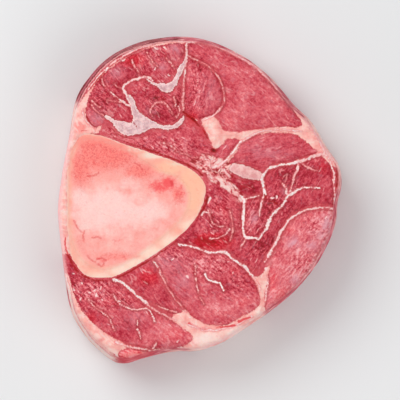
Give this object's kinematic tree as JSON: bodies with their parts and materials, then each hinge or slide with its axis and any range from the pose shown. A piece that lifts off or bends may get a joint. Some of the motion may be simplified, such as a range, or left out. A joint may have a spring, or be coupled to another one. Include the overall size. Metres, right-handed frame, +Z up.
{
  "type": "raw beef shank",
  "caption": "Raw cross-cut slice of beef shank lying flat: lean muscles in pale sheaths and fat round a sawn shin bone full of marrow.",
  "frame": {"origin": "middle of the bounding box on the underside that the slice lies on", "axes": "+Z up out of the shown cut face, +Y along the longest side of the slice, +X away from the bone's end of the slice"},
  "size_m": [0.105, 0.121, 0.03],
  "materials": {
    "lean_meat": "moist, softly glossy raw muscle with pale sheaths and fat",
    "sawn_bone": "smooth sawn bone, satin",
    "marrow": "moist, soft marrow and spongy bone"
  },
  "bodies": {
    "root": {"meat": "lean_meat", "bone": "sawn_bone", "marrow": "marrow"}
  },
  "joints": []
}
